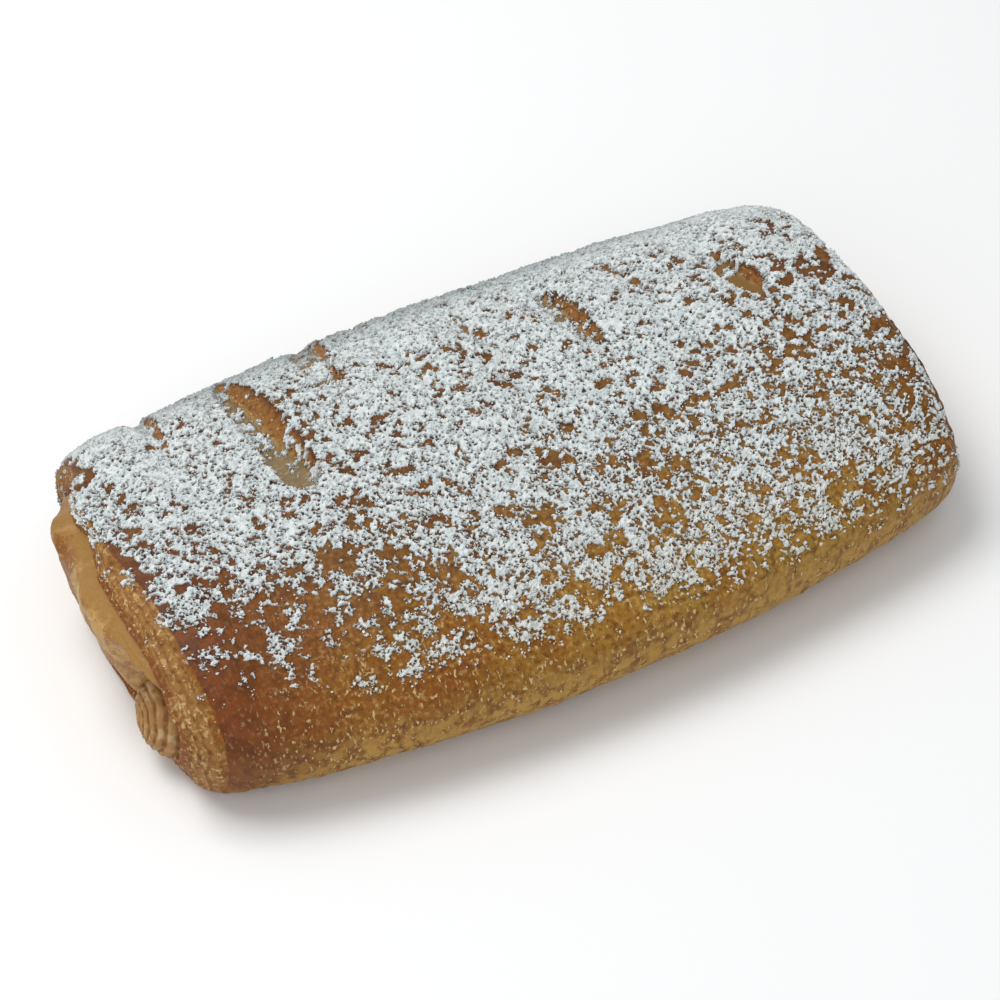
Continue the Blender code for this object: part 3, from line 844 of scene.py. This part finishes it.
sugar_fields = {
    # brown where the sheet dips low: partly the glaze showing through, partly painted shade in the dips
    "thin_and_shaded": smooth(0.24, -0.05, np.where(solid, uneven_top, -0.1)).ravel()[used],
    # painted shade: greyer down the back shoulder
    "painted_back_shade": 0.85 * smooth(32, 46, s)[used],
    "creamy": 0.12 * smooth(-26, -46, s)[used]}
sugar_layer = mesh_piece(
    "sugar_layer", sheet.reshape(-1, 3)[used], faces.reshape(-1, 4), sugar_fields)
sugar_layer.data.shade_flat()

# loose on it and round it lie clumps, as uneven little balls, and grains, as still smaller crumbs
bm = bmesh.new()
bmesh.ops.create_icosphere(bm, subdivisions=1, radius=1.0)
BALL_POINTS = np.array([v.co[:] for v in bm.verts])
BALL_FACES = np.array([[v.index for v in f.verts] for f in bm.faces])
bm.free()
CRUMB_POINTS = np.array([[1, 0, 0], [0, 1, 0], [-1, 0, 0], [0, -1, 0], [0, 0, 1], [0, 0, -1]], float)
CRUMB_FACES = np.array([[i, (i + 1) % 4, 4] for i in range(4)] + [[(i + 1) % 4, i, 5] for i in range(4)])


def loose_sugar(name, count, smallest, largest, seed, slack, lift_by, onto, points, faces):
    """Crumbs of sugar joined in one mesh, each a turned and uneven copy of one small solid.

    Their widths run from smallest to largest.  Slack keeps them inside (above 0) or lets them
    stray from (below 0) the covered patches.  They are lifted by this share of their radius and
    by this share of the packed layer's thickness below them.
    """
    picker = np.random.default_rng(seed)
    row, column = scatter(count * 5, seed + 1)
    place, normal, x, s = on_skin(row, column)
    slack = slack + picker.uniform(-0.12, 0.12, len(row))
    chosen = packed(place, x, s, at_skin(open_skin, row, column), slack) & (cover(x, s) > 0.03)
    index = np.flatnonzero(chosen)[:count]
    place, normal, s = place[index], normal[index], s[index]
    i = np.clip(((row[index] - layer_rows[0]) / STEP).astype(int), 0, thick.shape[0] - 1)
    j = np.clip(((column[index] - layer_columns[0]) / STEP).astype(int), 0, thick.shape[1] - 1)
    size = blend(smallest, largest, picker.random(len(index)) ** 1.6) * 0.5
    size = size * blend(1.0, 1.25, smooth(-30, -44, s))
    turn = np.linalg.qr(picker.normal(size=(len(index), 3, 3)))[0]
    shape = (points @ turn) * picker.uniform(0.6, 1.3, (len(index), len(points), 1))
    shape = shape * picker.uniform(0.7, 1.25, (len(index), 1, 3)) * size[:, None, None]
    centre = place + normal * (size * lift_by + thick[i, j] * onto)[:, None]
    mirrored = np.linalg.det(turn) < 0
    all_faces = np.where(mirrored[:, None, None], faces[None, :, ::-1], faces[None])
    all_faces = all_faces + (np.arange(len(index)) * len(points))[:, None, None]
    # the finest crumbs low on the front have soaked up some of the glaze
    creamy = smooth(-26, -48, s) * blend(picker.random(len(index)), 0.9, smooth(-44, -52, s))
    creamy = creamy * smooth(0.36, 0.22, size)
    crumb_fields = {
        # painted shade: greyer down the back shoulder
        "painted_back_shade": np.repeat(0.85 * smooth(32, 46, s), len(points)),
        "creamy": np.repeat(creamy, len(points))}
    crumbs = (centre[:, None] + shape).reshape(-1, 3)
    piece = mesh_piece(name, crumbs, all_faces.reshape(-1, 3), crumb_fields)
    piece.data.shade_flat()
    return piece


sugar_clumps = loose_sugar(
    "sugar_clumps", 9000, 0.36, 0.74, seed=71, slack=0.02, lift_by=0.35, onto=0.6,
    points=BALL_POINTS, faces=BALL_FACES)
sugar_grains = loose_sugar(
    "sugar_grains", 24500, 0.26, 0.50, seed=81, slack=-0.06, lift_by=0.45, onto=0.75,
    points=CRUMB_POINTS, faces=CRUMB_FACES)

# matt white, with painted shade greying it down the back shoulder, and brown where it is thin enough to
# show the glaze, darker still in its dips as painted shade
sugar_shader = Shader("icing_sugar", 0.9, 0.15)
field, mix = sugar_shader.field, sugar_shader.mix
colour = mix(srgb(198, 205, 205), srgb(220, 225, 224), sugar_shader.noise(1.2, 2.0).smooth(0.35, 0.65))
# painted shade: the sugar greys down the back shoulder, where less light falls
colour = mix(colour, srgb(156, 164, 164), field("painted_back_shade"))
colour = mix(colour, srgb(216, 186, 132), field("creamy") * 0.85)
# the glaze's brown where the sugar is thin, made darker than the glaze as painted shade in the dips
colour = mix(colour, srgb(82, 54, 34), field("thin_and_shaded") * 0.9)
sugar_shader.finish("Base Color", colour)
for piece in (sugar_layer, sugar_clumps, sugar_grains):
    piece.data.materials.append(sugar_shader.material)


# ---- floor, light and camera -------------------------------------------------------------------
# A plain pale table under soft daylight from above, seen from the front at the left.

bpy.ops.mesh.primitive_plane_add(size=8.0)
floor = bpy.context.object
floor.name = "floor"
floor_shader = Shader("pale_floor", 0.9, 0.1)
floor_shader.surface.inputs["Base Color"].default_value = (0.93, 0.93, 0.93, 1.0)
floor.data.materials.append(floor_shader.material)

world = bpy.data.worlds.new("soft_room")
bpy.context.scene.world = world
world.use_nodes = True
world.node_tree.nodes["Background"].inputs["Color"].default_value = (0.94, 0.97, 1.0, 1.0)
world.node_tree.nodes["Background"].inputs["Strength"].default_value = 0.48
bpy.context.scene.view_settings.view_transform = "Standard"


def soft_light(name, place, aim, size, power, colour):
    """A square lamp of this size in metres, turned towards a point."""
    lamp = bpy.data.lights.new(name, "AREA")
    lamp.size, lamp.energy, lamp.color = size, power, colour
    holder = bpy.data.objects.new(name, lamp)
    holder.location = place
    holder.rotation_euler = (Vector(aim) - Vector(place)).to_track_quat("-Z", "Y").to_euler()
    bpy.context.scene.collection.objects.link(holder)


soft_light("window", (-0.25, 0.28, 0.80), (0, 0, 0.01), 0.5, 5.0, (1.0, 0.99, 0.97))
soft_light("fill", (-0.5, -0.6, 0.5), (0, 0, 0.01), 0.8, 2.0, (0.96, 0.98, 1.0))

AZIMUTH, ELEVATION, DISTANCE = math.radians(29.2), math.radians(45.0), 0.6685
AIM = Vector((0.00228, 0.00035, 0.0150))
level_part = math.cos(ELEVATION)
to_camera = Vector((
    -math.sin(AZIMUTH) * level_part, -math.cos(AZIMUTH) * level_part, math.sin(ELEVATION)))
lens = bpy.data.cameras.new("camera")
lens.lens, lens.sensor_width = 132.33, 36.0
lens.shift_x, lens.shift_y = -0.0101, -0.0254
camera = bpy.data.objects.new("camera", lens)
camera.location = AIM + to_camera * DISTANCE
camera.rotation_euler = (-to_camera).to_track_quat("-Z", "Y").to_euler()
bpy.context.scene.collection.objects.link(camera)
bpy.context.scene.camera = camera
